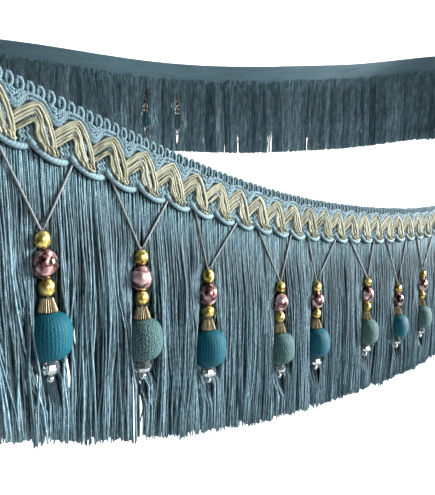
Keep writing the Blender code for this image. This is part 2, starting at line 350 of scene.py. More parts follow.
soft_shine = {"Roughness": 0.7, "Specular_IOR_Level": 0.25}
silk_shine = {"Roughness": 0.75, "Specular_IOR_Level": 0.15}
gimp_blue = yarn_material("twisted_rayon_light_blue", "#506972", "#7A949B", 2, 0.3, **soft_shine)
braid_cream = yarn_material("silky_rayon_cream", "#6C6D5B", "#919280", 2, 0.2, **silk_shine)
thread_taupe = yarn_material("waxed_thread_taupe", "#484A4A", "#70757A", 3, 0.35, Roughness=0.6)
print("yarns:", gimp_blue.name, braid_cream.name, thread_taupe.name)

# %% [markdown]
# The hanging cords have the same twist, and their colour changes on the way down. Just under the heading
# they stand apart in the light, and their colour is painted paler there. Below that they crowd together in
# its shade, and further down they come out into the light, and this shade and light are painted into the
# colour too. So the material reads two values that each cord stores: its own shade, and how far down the
# point is, as a share of the trim's height. Slubs, which are uneven spots in the yarn, break the shine into
# short streaks.

# %% Material of the hanging cords
fringe_blue, tree, shader = new_material("twisted_rayon_slate_blue", Roughness=0.6, Specular_IOR_Level=0.2)
turns, wave, shade = twist_nodes(tree, plies=2)
hang = add_node(tree, "Attribute", "Fac", attribute_name="down")
slub = add_node(tree, "TexNoise", "Fac", {"Vector": turns, "Scale": 0.8, "Detail": 2.0})
# The first pair is the paler colour of the roots, which is painted light; the second is the cords' own
# colour
root, body = (
    add_node(tree, "Mix", MIX_OUT, {"Factor": shade, MIX_A: dark, MIX_B: light}, data_type="RGBA")
    for dark, light in (("#5F8591", "#90B5C0"), ("#2A4550", "#8AA9B5"))
)
fade = {"Value": hang, "From Min": 0.2, "From Max": 0.35}
painted_root_light_fade = add_node(tree, "MapRange", "Result", fade, interpolation_type="SMOOTHSTEP")
# Painted shade in the ply grooves, the slubs, and painted shade under the heading that turns to painted
# light lower down
painted_groove_shade, streaks, painted_shade_and_light = (
    add_node(tree, "MapRange", "Result", sockets)
    for sockets in (
        {"Value": wave, "From Max": 0.6, "To Min": 0.5},
        {"Value": slub, "From Min": 0.35, "From Max": 0.65, "To Min": 0.45, "To Max": 1.35},
        {"Value": hang, "From Min": 0.3, "From Max": 0.75, "To Min": 0.8, "To Max": 1.12},
    )
)
uneven = add_node(tree, "Math", 0, {0: painted_groove_shade, 1: streaks}, operation="MULTIPLY")
shading = add_node(tree, "Math", 0, {0: uneven, 1: painted_shade_and_light}, operation="MULTIPLY")
finish_shader(tree, shader, painted_root_light_fade, root, body, shading, wave, strength=0.3, distance=0.1)
print("hanging cords:", fringe_blue.name)

# %% [markdown]
# ## A cord as a mesh
#
# By hand, one would bevel a curve to make a cord. There are thousands here, so one function sweeps a small
# ring along every path at once and joins them into one mesh, with few faces per cord. It also writes the UV
# map and the stored values that the yarn materials read, and closes both ends. The lay of a cord is the
# length in which its plies go once round.

# %% Sweep many cords at once


def add_piece(name, mesh, material):
    """Gives a mesh its material and makes it a piece of the part's only body."""
    mesh.materials.append(material)
    piece = bpy.data.objects.new(name, mesh)
    bpy.context.scene.collection.objects.link(piece)
    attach(piece, "root")
    return piece


def sweep_cords(name, paths, material, shades, radius, sides, lay, downs=None, flat=1.0):
    """One mesh of cords. paths is cords x points x (along, down, out) in millimetres."""
    paths = np.asarray(paths, float)
    cords, points, _ = paths.shape
    along, down, out = paths[..., 0], paths[..., 1], paths[..., 2]
    centres = place(along, down, out)
    tangents = unit(np.gradient(centres, axis=1))
    facing = outward_at(along[:, 0])
    fronts = np.empty_like(centres)
    for i in range(points):
        facing = unit(facing - tangents[:, i] * np.sum(facing * tangents[:, i], axis=-1, keepdims=True))
        fronts[:, i] = facing
    across = np.cross(tangents, fronts)
    angles = 2 * math.pi * np.arange(sides) / sides
    radii = np.broadcast_to(np.asarray(radius, float) * MM, (cords, points))[..., None, None]
    ring = np.cos(angles)[:, None] * flat * fronts[:, :, None, :]
    ring = ring + np.sin(angles)[:, None] * across[:, :, None, :]
    corners = (centres[:, :, None, :] + ring * radii).reshape(-1, 3)

    index = np.arange(cords * points * sides).reshape(cords, points, sides)
    after = np.roll(index, -1, axis=2)
    quads = np.stack([index[:, :-1], after[:, :-1], after[:, 1:], index[:, 1:]], axis=-1).reshape(-1, 4)
    caps = np.concatenate([index[:, 0, ::-1], index[:, -1, :]])
    mesh = bpy.data.meshes.new(name)
    mesh.from_pydata(corners.tolist(), [], quads.tolist() + caps.tolist())

    # The twist of each cord starts at a turn of its own
    steps = np.linalg.norm(np.diff(centres, axis=1), axis=-1) / MM
    turns = np.concatenate([np.zeros((cords, 1)), np.cumsum(steps, axis=1)], axis=1) / lay
    turns = turns + (np.arange(cords) * 0.618 % 1 * 17)[:, None]
    low = np.broadcast_to(turns[:, :-1, None], (cords, points - 1, sides))
    high = np.broadcast_to(turns[:, 1:, None], (cords, points - 1, sides))
    left = np.broadcast_to(np.arange(sides) / sides, low.shape)
    right = left + 1 / sides
    quad_uv = np.stack([low, left, low, right, high, right, high, left], axis=-1).reshape(-1, 2)
    cap_uv = np.zeros((caps.size, 2))
    layer = mesh.uv_layers.new(name="twist")
    layer.data.foreach_set("uv", np.concatenate([quad_uv, cap_uv]).ravel().astype(np.float32))
    stored = {"shade": np.repeat(np.asarray(shades, float), points * sides)}
    if downs is not None:
        stored["down"] = np.repeat(downs.reshape(-1), sides)
    for key, values in stored.items():
        mesh.attributes.new(key, "FLOAT", "POINT").data.foreach_set("value", values.astype(np.float32))
    mesh.polygons.foreach_set("use_smooth", np.ones(len(mesh.polygons), bool))
    mesh.update()
    print(name, "cords:", cords, "triangles:", 2 * len(quads) + 2 * cords * (sides - 2))
    return add_piece(name, mesh, material)


def smooth(points, count):
    """count points, evenly spread along a smooth curve through a few given points."""
    points = np.array(points, float)
    knots = lengths_along(points)
    fine = smooth_curve(knots, points, np.linspace(0, knots[-1], 200))
    lengths = lengths_along(fine)
    at = np.linspace(0, lengths[-1], count)
    return np.stack([np.interp(at, lengths, fine[:, i]) for i in range(3)], axis=-1)


SCALLOP = 14.0
SCALLOPS = 105
TRIM_LENGTH = SCALLOP * SCALLOPS
TRIM_HEIGHT = 115.0
CUT_END = 0.8
print("trim:", TRIM_LENGTH, "mm long and", TRIM_HEIGHT, "mm high, with", SCALLOPS, "scallops")

# %% Repeat a motif on every scallop


def on_every_scallop(motif, seed, jitter=0.12):
    """Copies a motif of cords to each scallop, each moved by a hair. None reaches past the two cut ends."""
    random = np.random.default_rng(seed)
    motif = np.array(motif, float)
    copies = np.tile(motif, (SCALLOPS, 1, 1))
    moved = random.normal(0, jitter, (len(copies), 1, 3))
    copies += np.clip(moved, -2 * jitter, 2 * jitter)
    copies[..., 0] += np.repeat(np.arange(SCALLOPS) * SCALLOP, len(motif))[:, None]
    copies[..., 0] = np.clip(copies[..., 0], CUT_END, TRIM_LENGTH - CUT_END)
    return copies, random.random(len(copies))


def smoothstep(start, end, value):
    """From nothing at the start to one at the end, smoothly. The end may come before the start."""
    share = np.clip((value - start) / (end - start), 0, 1)
    return share * share * (3 - 2 * share)


print("halfway up a smooth step:", smoothstep(0, 1, 0.5))

# %% [markdown]
# ## The woven ground of the heading
#
# Behind the cords lies a narrow woven tape. It is all we see of the far stretch, which shows its reverse. A
# tape is cloth, so it is a thin sheet that follows the route. In front of it a ribbed ground fills the gaps
# between the cords. The weave is drawn from the UV map in real millimetres, by the distance between its
# threads, and long faint clouds stand for the uneven dye of cotton.

# %% Weave material
CLOUDS_PER_MM = (0.03, 0.25, 1.0)


def woven_material(name, dark, light, warp, weft, **constants):
    """A plain weave: fine ridges along the tape, warp apart, and across it, weft apart, slightly uneven."""
    material, tree, shader = new_material(name, **constants)
    on_tape = add_node(tree, "UVMap", "UV", uv_map="tape")
    ridges = {}
    for axis, apart, bent in (("X", weft, 0.6), ("Y", warp, 0.4)):
        bands = {"Vector": on_tape, "Scale": STRAIGHT_BAND / apart, "Distortion": bent, "Detail Scale": 2.0}
        ridges[axis] = add_node(tree, "TexWave", "Fac", bands, bands_direction=axis)
    both = add_node(tree, "Math", 0, {0: ridges["X"], 1: ridges["Y"]}, operation="MULTIPLY")
    stretched = add_node(tree, "Mapping", "Vector", {"Vector": on_tape, "Scale": CLOUDS_PER_MM})
    cloudy = add_node(tree, "TexNoise", "Fac", {"Vector": stretched, "Scale": 1.0, "Detail": 3.0})
    mixed = add_node(tree, "Math", 0, {0: both, 1: cloudy}, operation="MULTIPLY")
    spread = add_node(tree, "MapRange", "Result", {"Value": mixed, "From Max": 0.45})
    finish_shader(tree, shader, spread, dark, light, height=both, strength=0.6, distance=0.2)
    return material


cotton = {"Roughness": 0.8, "Sheen_Weight": 0.2}
tape_slate = woven_material("woven_cotton_slate", "#304C57", "#6B8E99", warp=0.7, weft=0.7, **cotton)
ground_blue = woven_material("woven_ground_blue", "#2E424B", "#6A8894", warp=1.1, weft=0.6, Roughness=0.7)
print("weaves:", tape_slate.name, ground_blue.name)

# %% Sweep a flat band


def sweep_band(name, outline, stations, material):
    """A closed band along the trim. outline is its cross-section as (down, out) in millimetres."""
    outline = np.array(outline, float)
    rings, corners = len(stations), len(outline)
    points = place(np.asarray(stations, float)[:, None], outline[None, :, 0], outline[None, :, 1])
    index = np.arange(rings * corners).reshape(rings, corners)
    after = np.roll(index, -1, axis=1)
    quads = np.stack([index[:-1], index[1:], after[1:], after[:-1]], axis=-1).reshape(-1, 4)
    ends = [index[0].tolist(), index[-1, ::-1].tolist()]
    mesh = bpy.data.meshes.new(name)
    mesh.from_pydata(points.reshape(-1, 3).tolist(), [], quads.tolist() + ends)
    layer = mesh.uv_layers.new(name="tape")
    loops = np.empty(len(mesh.loops), int)
    mesh.loops.foreach_get("vertex_index", loops)
    flat = np.stack([np.repeat(stations, corners), np.tile(outline[:, 0], rings)], axis=-1)
    layer.data.foreach_set("uv", flat[loops].ravel().astype(np.float32))
    work = bmesh.new()
    work.from_mesh(mesh)
    bmesh.ops.recalc_face_normals(work, faces=work.faces)
    work.to_mesh(mesh)
    work.free()
    print(name, "faces:", len(mesh.polygons))
    return add_piece(name, mesh, material)


TAPE_TOP = 1.6
TAPE_END = 26.4
TAPE_FRONT = -0.6
TAPE_BACK = -1.2
STATIONS_PER_SCALLOP = 3
stations = np.linspace(0, TRIM_LENGTH, STATIONS_PER_SCALLOP * SCALLOPS + 1)
outline = [(TAPE_TOP, TAPE_FRONT), (TAPE_END, TAPE_FRONT), (TAPE_END, TAPE_BACK), (TAPE_TOP, TAPE_BACK)]
tape = sweep_band("reverse_tape", outline, stations, tape_slate)
outline = [(3.4, 0.6), (12, 0.4), (19.6, 0.6), (19.6, -0.5), (3.4, -0.5)]
ground = sweep_band("heading_ground", outline, stations, ground_blue)

# %% [markdown]
# ## The top edge: picots and a scalloped cord
#
# The upper edge is a row of small loops, called picots. They come from a cord that swings out past the edge
# before the weft pulls it back, four loops to a scallop. Below them two thick cords rise over each peak and
# dip between two. From here on, a motif is drawn for one scallop, with its points as (along, down, out).

# %% Picot loops
PICOTS_PER_SCALLOP = 4
PICOT_PITCH = SCALLOP / PICOTS_PER_SCALLOP

# One loop about its middle: up from the cord below, round, and down again a little in front
PICOT = (
    (0.15, 5.6, 0.6),
    (-0.5, 4.5, 0.9),
    (-0.95, 3.2, 1.1),
    (-0.65, 1.8, 1.2),
    (0.05, 1.25, 1.25),
    (0.7, 1.8, 1.3),
    (0.95, 3.2, 1.4),
    (0.5, 4.5, 1.5),
    (-0.15, 5.6, 1.3),
)
motif = []
for i in range(PICOTS_PER_SCALLOP):
    middle = PICOT_PITCH * (i + 0.9)
    motif.append(smooth([(middle + aside, down, out) for aside, down, out in PICOT], 12))
paths, shades = on_every_scallop(motif, seed=11)
picots = sweep_cords("picot_loops", paths, gimp_blue, 0.1 * shades, radius=0.73, sides=5, lay=1.6)

# %% The cord under the picots
STEPS_PER_SCALLOP = 12
share = np.arange(SCALLOPS * STEPS_PER_SCALLOP + 1) / STEPS_PER_SCALLOP * SCALLOP
wave = 0.5 - 0.5 * np.cos(2 * math.pi * (share - 1.1) / SCALLOP)
scallop_down = 4.8 + 4.5 * wave**2.4
path = [
    np.stack([share, scallop_down + lower, np.full_like(share, out)], axis=-1)
    for lower, out in ((0, 1.35), (1.25, 1.1))
]
top_cord = sweep_cords("scallop_cord_top", path, gimp_blue, [0.2, 0.1], radius=0.8, sides=6, lay=2.0)

# %% [markdown]
# ## Lacing
#
# Between two peaks of the cream braid the blue weft shows as three pairs of cords that run down into the
# valley from both sides and meet in a point. Five short ones stand in the patch below the braid. The weft
# ties them at even steps, so they wave a little.

# %% Blue lacing
VALLEY_PAIRS = 3
PATCH_CORDS = 5
# The valley pairs are kept near the dark end as painted shade of the valley; the patch cords are lighter
VALLEY_PAINTED_SHADE = 0.1
PATCH_SHADE = 0.6
LACING_WAVE = np.array([(0.3, 0, 0.25), (-0.3, 0, -0.25), (0.3, 0, 0.25), (-0.3, 0, -0.25)])

motif = []
for j in range(VALLEY_PAIRS):
    middle = 7.6 - 0.9 * j
    dip = (8.1, 10.2 - 1.4 * j)
    motif.append(smooth([(4.3 + 0.8 * j, 5.0, 1.3), (6.6 + 0.45 * j, middle, 1.6), (*dip, 1.4)], 6))
    motif.append(smooth([(12.0 - 0.8 * j, 5.0, 1.2), (9.8 - 0.4 * j, middle, 1.5), (*dip, 1.2)], 6))
for j in range(PATCH_CORDS):
    top = (-4.9 + 1.3 * j, 16.9 - j, 0.9)
    middle = (-4.7 + 1.25 * j, 18.4 - 0.5 * j, 1.6)
    motif.append(smooth([top, middle, (-4.3 + 1.2 * j, 20.6, 1.3)], 6))
motif = np.array(motif)
motif[:, 1:-1, :] += LACING_WAVE
paths, shades = on_every_scallop(motif, seed=12)
# Painted shade: the cords in the valley between the braid's peaks are darkened
shades *= np.resize([VALLEY_PAINTED_SHADE] * 2 * VALLEY_PAIRS + [PATCH_SHADE] * PATCH_CORDS, len(shades))
lacing = sweep_cords("lacing_cords", paths, gimp_blue, shades, radius=0.7, sides=5, lay=1.6)

# %% [markdown]
# ## The cream zigzag
#
# Six silky cords lie side by side and run up and down over the heading together. Each leg rises to the
# right as a flat band and folds over at the peak, so that its top cord becomes the right-hand one and drops
# steeply in front. The falling cords go in pairs, with dark gaps between. At the bottom they tuck under,
# and small stitches hold them. Filaments with hardly any twist lie flat, so these cords are half as thick
# as wide, and their lay is long.

# %% Cream zigzag cords

# Where each cord is tucked in, halfway up, at the fold, halfway down, and at its foot, as (along, down)
BRAID_CORDS = (
    ((-7.2, 13.4), (-3.4, 9.7), (2.3, 6.2), (5.8, 12.6), (6.8, 20.0)),
    ((-7.1, 14.3), (-3.4, 10.7), (1.9, 7.3), (4.9, 13.2), (6.1, 19.9)),
    ((-7.0, 15.2), (-3.4, 11.7), (1.4, 8.4), (3.0, 13.9), (4.8, 19.7)),
    ((-7.0, 16.1), (-3.5, 12.8), (1.0, 9.6), (2.2, 14.6), (4.0, 19.5)),
    ((-6.9, 17.4), (-3.6, 14.5), (0.5, 11.5), (0.9, 15.4), (2.6, 19.3)),
    ((-6.9, 18.4), (-3.8, 15.6), (0.1, 12.6), (0.2, 16.1), (1.9, 19.0)),
)
motif = []
for row in BRAID_CORDS:
    tucked, rising, fold, falling, foot = np.array(row)
    nearly = rising + 0.6 * (fold - rising) + (0, -0.35)
    up = smooth([(*tucked, 0.9), (*rising, 1.5), (*nearly, 1.9), (*fold, 2.1)], 8)
    bowed = fold + 0.35 * (falling - fold) + (0.35, 0)
    under = foot + (0.1, 1.1)
    down = smooth([(*fold, 2.1), (*bowed, 2.6), (*falling, 2.7), (*foot, 2.3), (*under, 1.0)], 11)
    motif.append(np.concatenate([up, down[1:]]))
paths, shades = on_every_scallop(motif, seed=13, jitter=0.15)
flat_silk = {"radius": 0.53, "sides": 6, "lay": 9.0, "flat": 0.5}
braid = sweep_cords("zigzag_cream_cords", paths, braid_cream, shades, **flat_silk)

# %% Stitches at the foot of each leg
long_stitch = [(1.0, 18.2, 2.0), (2.7, 19.7, 3.1), (5.0, 20.5, 3.3), (7.0, 20.8, 3.1), (8.1, 19.9, 1.6)]
motif = [smooth(long_stitch, 8)]
for j in range(4):
    top, middle = (1.8 + 1.45 * j, 18.7, 2.8), (2.5 + 1.45 * j, 19.8, 3.7)
    motif.append(smooth([top, middle, (3.2 + 1.4 * j, 21.0, 2.6)], 8))
paths, shades = on_every_scallop(motif, seed=14)
catch = sweep_cords("zigzag_catch_cord", paths, braid_cream, shades, radius=0.45, sides=5, lay=3.4)
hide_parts("zigzag_braid")

# %% [markdown]
# ## The lower edge
#
# A soft blue cord hangs in a curve under each scallop. It starts in front of its neighbour and ends tucked
# behind the next one, which gives the edge its row of overlapping curves, with a dark line where each
# begins.

# %% Cords of the lower edge
HEM_CURVE = (
    (-1.5, 18.3, 1.5),
    (0.0, 20.0, 2.2),
    (2.6, 21.3, 2.4),
    (6.2, 22.1, 2.2),
    (9.4, 21.8, 1.8),
    (12.7, 20.4, 0.8),
)
paths, shades = on_every_scallop([smooth(HEM_CURVE, 14)], seed=15, jitter=0.08)
thick_cord = {"radius": 1.1, "sides": 8, "lay": 2.8, "flat": 0.75}
hem = sweep_cords("lower_edge_cords", paths, gimp_blue, 0.2 + 0.3 * shades, **thick_cord)
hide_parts("heading_gimp")

# %% [markdown]
# ## Where the bead drops hang
#
# A drop hangs under every third scallop, and after a break the row goes on one scallop later. Each swings
# to its own side and hangs a little higher or lower. The cords of the fringe make room for the balls, and
# some climb over a ball from the left and cover its edge, so this is settled before the fringe is made. The
# drops that we see are placed one by one, and a wave scatters the others.

# %% Drops
DROPS = 34
DROP_OUT = 2.4
BALL_RADIUS = 7.7
SCALLOPS_PER_DROP = 3
FIRST_DROP_AFTER_BREAK = 11

# How far along and down from its usual place, and how many degrees of the ball's left are covered
NEAR_DROPS = (
    ((2.3, 1.2, 31), (-0.8, -2.0, 23), (-6.1, -0.5, 7), (4.2, 0.5, 17))
    + ((-5.2, 0.0, 8), (6.2, -0.5, 10), (3.3, 1.0, 10), (-3.3, 0.8, 10))
)
FIRST_FAR_DROP = 24
FAR_DROPS = ((-5.7, 0, 10), (7.0, 0.5, 10), (7.0, 0, 10), (1.0, -0.5, 10), (4.0, 0, 10), (4.3, 0, 10))
USUALLY_COVERED = 10

# The top of the first string leans aside. The seventh lacks its lower gold bead, so the beads above it hang
# lower by the height of one
FIRST_LEAN = -1.1
SHORT_DROP = 6
LOWER_GOLD_HEIGHT = 5.6

number = np.arange(DROPS)
scattered = (4.0 * np.sin(2.4 * number), 1.0 * np.sin(3.1 * number), np.full(DROPS, USUALLY_COVERED))
drop_rows = np.stack(scattered, axis=1)
drop_rows[: len(NEAR_DROPS)] = NEAR_DROPS
drop_rows[FIRST_FAR_DROP : FIRST_FAR_DROP + len(FAR_DROPS)] = FAR_DROPS
drop_aside, drop_lower, covered_degrees = drop_rows.T
drop_covered = np.radians(covered_degrees)
late = (number >= FIRST_DROP_AFTER_BREAK).astype(int)
drop_joints = (SCALLOPS_PER_DROP * number + 2 + late) * SCALLOP
drop_alongs = drop_joints + drop_aside
drop_lean = np.where(number == 0, FIRST_LEAN, 0.0)
drop_short = np.where(number == SHORT_DROP, LOWER_GOLD_HEIGHT, 0.0)
drop_colours = [("teal", "sage")[turn % 2] for turn in number + late]
print("first drops at", np.round(drop_alongs[:8], 1), "mm")

# %% [markdown]
# ## The fringe
#
# The skirt is cut bullion: long cords, side by side, in four layers. Each starts straight behind the lower
# edge. Further down, neighbours lean together into small tufts with dark gaps between, the layers swell
# forward, and the cut ends swing to one side, cross and end unevenly. The paths are made in three steps:
# the cords hang freely, then they make room for the beads, and last they part where one sees through them.
# Where a smoothstep reads down or level, its numbers are millimetres below the top edge.

# %% Cords that hang freely
ROOT_DOWN = 19.2

# How far the cut ends of a tuft swing to one side, and how much further those by the near cut end do
SWING = 2.0
CUT_END_SWING = 4.0


def hang_freely(layer, random, seed):
    """One layer with nothing in its way: each cord's start, points and own out, and its tuft's shade."""
    plies = layer["plies"]
    count = SCALLOPS * layer["per_scallop"]
    pitch = SCALLOP / layer["per_scallop"]
    home = (np.arange(count) + layer["stagger"]) * pitch + random.uniform(-0.12, 0.12, count)
    ply = np.tile(np.arange(plies) - (plies - 1) / 2, count)[:, None]
    home = np.clip(np.repeat(home, plies), CUT_END, TRIM_LENGTH - CUT_END)
    count *= plies

    # Tufts: runs of a few cords that lean towards their common middle
    ends = np.cumsum(random.integers(2, 6, count) * plies)
    tuft = np.searchsorted(ends, np.arange(count), side="right")
    tufts = tuft[-1] + 1
    tuft_home = (np.bincount(tuft, home) / np.bincount(tuft))[tuft]
    tuft_lean = random.normal(0, 0.8, tufts)[tuft]
    tuft_longer = random.normal(0, 0.9, tufts)[tuft]
    tuft_out = np.clip(random.normal(0, 0.6, tufts), -1.1, 1.1)[tuft]
    tuft_shade = random.normal(0, 1.0, tufts)[tuft]
    tuft_swing = np.random.default_rng(seed + 100).normal(0, SWING, tufts)[tuft]
    tuft_swing += CUT_END_SWING * smoothstep(34, 20, home)

    length = TRIM_HEIGHT - 0.6 + np.clip(0.55 * tuft_longer + random.normal(0, 0.55, count), -2.2, 2.2)
    root = ROOT_DOWN + layer["lower"] * random.random(count)
    down = root[:, None] + np.linspace(0, 1, layer["levels"])[None, :] * (length - root)[:, None]
    grown = smoothstep(22, 90, down)

    loose = layer["loose"]
    pull = (tuft_home - home) * random.uniform(0.15, 0.5, count) * loose
    waves = random.uniform(0, 2 * math.pi, (count, 1))
    sway = 0.42 * np.sin(down / 13 + waves) + 0.33 * np.sin(down / 6.5 + 2 * waves)
    tip = random.normal(0, 1.3, (count, 1)) * smoothstep(76, 116, down)
    along = home[:, None] + (pull + tuft_lean * loose)[:, None] * grown
    along = along + (sway * smoothstep(24, 50, down) + tip) * loose
    along += ply * (0.24 + 0.34 * smoothstep(21, 34, down))
    along += tuft_swing[:, None] * loose * smoothstep(62, 116, down)
    along += layer["drift"] * (np.sin(home / 31) + 0.6 * np.sin(home / 12.7 + 1))[:, None] * grown
    own_out = np.clip(random.normal(0, 0.4, (count, 1)), -0.8, 0.8) + tuft_out[:, None]
    out = layer["root"] + (layer["belly"] - layer["root"]) * smoothstep(24, 60, down)
    out += own_out * loose * smoothstep(26, 60, down) + 0.25 * np.sin(down / 11 + 3 * waves)
    out -= smoothstep(88, 118, down) * 0.35 * layer["belly"]
    return home, along, down, out, own_out, tuft_shade


print("cords start", ROOT_DOWN, "mm below the top edge")

# %% [markdown]
# A string of beads presses a hollow into the skirt. Its cords give way in four ways: behind the beads they
# are pushed back, on the right they stand aside, on the left they climb over the ball and cover its edge,
# and left of the small beads they lie flat, so that these show whole. Cords of the inner layers only move
# back.

# %% Room for the beads
CLEAR = 0.15

# The hollow that a string of beads presses into the cords, as (down, radius), and how wide it stays on the
# right, below the middle of the ball
HOLLOW = np.array(
    [(40, 0), (46, 2.7), (51, 3.9), (60, 3.9), (66, 3.5), (70, 5.2)]
    + [(73, 7.8), (83, 7.8), (90, 4.3), (95, 2), (102, 0)]
)
ASIDE = np.array([(83, 7.8), (92, 6.3), (104, 4.4), (115, 3.4)])
HOLLOW_TOP = HOLLOW[0, 0]

# Cords that start this far from the drop go beside the beads, and those nearer go behind them
BESIDE = (3.6, 9.2)
BESIDE_ON_THE_RIGHT = 5.4

# Where those further left end that lean on them, how close to the ball's middle any pass, how far out they
# lie flat, and in how many millimetres the inner layers come back to their places
BANK_END = 15
COVERED_LEAST = 8.0
LAID_BACK = 1.4
HOLLOW_SLOPE = 7.0


def make_room(layer, home, along, down, out, own_out):
    """Moves the cords near each drop out of the hollow that its beads need."""
    nearest = np.abs(home[:, None] - drop_alongs[None, :]).argmin(axis=1)
    centre = drop_alongs[nearest][:, None]
    level = down - drop_lower[nearest][:, None]
    from_drop = home[:, None] - centre
    reach = np.abs(from_drop)
    room = np.interp(level, HOLLOW[:, 0], HOLLOW[:, 1]) + layer["radius"] + CLEAR
    least = np.where(from_drop > 0, BESIDE_ON_THE_RIGHT, BESIDE[0])
    beside = (reach > least) & (reach < BESIDE[1]) & layer["parts"]
    share = (reach - BESIDE[0]) / (BESIDE[1] - BESIDE[0])
    offset = along - centre

    # Behind the beads they are pushed back
    in_hollow = level > HOLLOW_TOP
    if layer["parts"]:
        behind = DROP_OUT - np.sqrt(np.maximum(room**2 - offset**2, 0)) + np.minimum(own_out, 0) * 0.5
        out = np.where(~beside & (np.abs(offset) < room) & in_hollow, np.minimum(out, behind), out)
    else:
        slope = smoothstep(0, 1, (np.abs(offset) - 0.5 * room) / (0.5 * room + HOLLOW_SLOPE))
        out = np.where(in_hollow, np.minimum(out, (DROP_OUT - room) * (1 - slope) + out * slope), out)

    # On the right they stand aside
    wide = np.interp(level, ASIDE[:, 0], ASIDE[:, 1]) + layer["radius"] + CLEAR
    wide = np.where(level > ASIDE[0, 0], wide, room)
    right = np.sqrt(np.maximum(wide**2 - (out - DROP_OUT) ** 2, 0)) + 0.5 * share
    along = np.where(beside & (from_drop > 0), np.maximum(along, centre + right), along)

    # Left of the small beads they lie flat
    flat = smoothstep(42, 48, level) * smoothstep(70, 63, level) * smoothstep(BANK_END, 8, reach)
    out -= flat * (from_drop < 0) * np.maximum(out - LAID_BACK, 0) * layer["parts"]

    # On the left they climb over the ball and cover its edge
    covered = drop_covered[nearest][:, None]
    turn = covered + (0.35 * covered - covered) * share
    climb = smoothstep(54, 76, level) * (1 - 0.5 * smoothstep(86, 112, level))
    radius = np.maximum(room, COVERED_LEAST + layer["radius"] + CLEAR) + 0.35 * share
    against = centre - radius * np.cos(turn)
    proud = DROP_OUT + radius * np.sin(turn)
    left = beside & (from_drop < 0)
    along = np.where(left, np.minimum(along, centre - right) * (1 - climb) + against * climb, along)
    out = np.where(left, out * (1 - climb) + proud * climb, out)
    bank = (from_drop < 0) & (reach >= BESIDE[1]) & (reach < BANK_END) & layer["parts"]
    sloping = 1 - smoothstep(BESIDE[1], BANK_END, reach)
    out += np.where(bank, climb * 3.0 * np.sin(covered) * sloping, 0)
    return along, out


print("hollow from", HOLLOW_TOP, "to", HOLLOW[-1, 0], "mm down")

# %% [markdown]
# In a few places one sees right through the skirt, or from behind through to the beads. There every layer
# leaves the middle free, apart from a few stray cords. The eye looks along the trim at a slant, so such a
# gap has to be slanted too: its middle moves along with each millimetre further back.

# %% Partings

# The drop it is near, its top and bottom level, half its clear width, its place from the drop, how far from
# there cords are moved, its slant, and how much wider it is at the ball
PARTINGS = (
    (0, 65, 80, 0.6, 9.4, 3.0, 0.52, 0.0),
    (0, 78, 92, 0.35, 6.4, 3.0, 0.52, 0.0),
    (0, 80, 98, 1.0, -5.0, 3.0, 0.52, 0.0),
    (1, 86, 120, 0.3, -4.6, 2.4, 0.83, 0.0),
    (1, 86, 120, 0.3, -1.2, 1.6, 0.83, 0.0),
    (24, 94, 120, 0.7, 0.0, 9.0, 0.0, 0.0),
    (25, 86, 120, 1.3, 0.0, 10.0, 0.0, 0.0),
    (26, 86, 120, 0.7, 0.0, 10.0, 0.0, 0.0),
    (28, 42, 88, 2.0, 0.0, 14.0, 0.0, 2.6),
    (28, 88, 106, 0.8, 0.0, 12.0, 0.0, 0.0),
    (29, 42, 88, 2.2, 0.0, 14.0, 0.0, 2.8),
)
PARTING_ENDS = 8
STRAYS = 0.15


def open_partings(layer, random, home, along, down, out):
    """Moves the cords beside each parting away from its middle."""
    uneven = random.uniform(0.75, 1.2, (len(home), 1))
    follows = random.random((len(home), 1)) > STRAYS
    at_ball = smoothstep(70, 75, down) * smoothstep(92, 84, down)
    for drop, top, bottom, half, side, reach, slant, ball in PARTINGS:
        middle = drop_alongs[drop] + side - slant * (out - DROP_OUT)
        away = along - middle
        opened = smoothstep(top, top + PARTING_ENDS, down) * smoothstep(bottom + PARTING_ENDS, bottom, down)
        opened = opened * (np.abs(away) < reach)
        way = np.where(home[:, None] > middle[:, -1:], 1, -1)
        free = half + layer["radius"] + ball * at_ball
        parted = way * (free * uneven + np.abs(away) * (reach - free) / reach)
        along = along + (parted - away) * opened * follows
    return along


def hanging_cords(layer, seed):
    """Paths of one layer of cords, their shades, and how far down each point is."""
    random = np.random.default_rng(seed)
    home, along, down, out, own_out, tuft_shade = hang_freely(layer, random, seed)
    along, out = make_room(layer, home, along, down, out, own_out)
    along = open_partings(layer, random, home, along, down, out)
    along = np.clip(along, 0.2, TRIM_LENGTH - 0.2)
    own_shade = random.normal(0, layer["shade"], len(home))
    shades = np.clip(0.5 + own_shade + layer["tuft_shade"] * tuft_shade, 0, 1)
    # Painted shade: deeper layers are darker, and so are cords further along, where the trim turns from the
    # light
    shades *= layer["painted_shade_factor"] * (1 - layer["turned"] * smoothstep(90, 260, home))
    return np.stack([along, down, out], axis=-1), shades, down / TRIM_HEIGHT


print("partings:", len(PARTINGS))

# %% [markdown]
# The two outer layers are three-ply cords, drawn ply by ply, because we see them up close. The inner two
# only fill the gaps between them, so they are single. Each layer behind the front one is darker, as painted
# shade of the depth it lies at. The innermost one is what the far stretch shows.

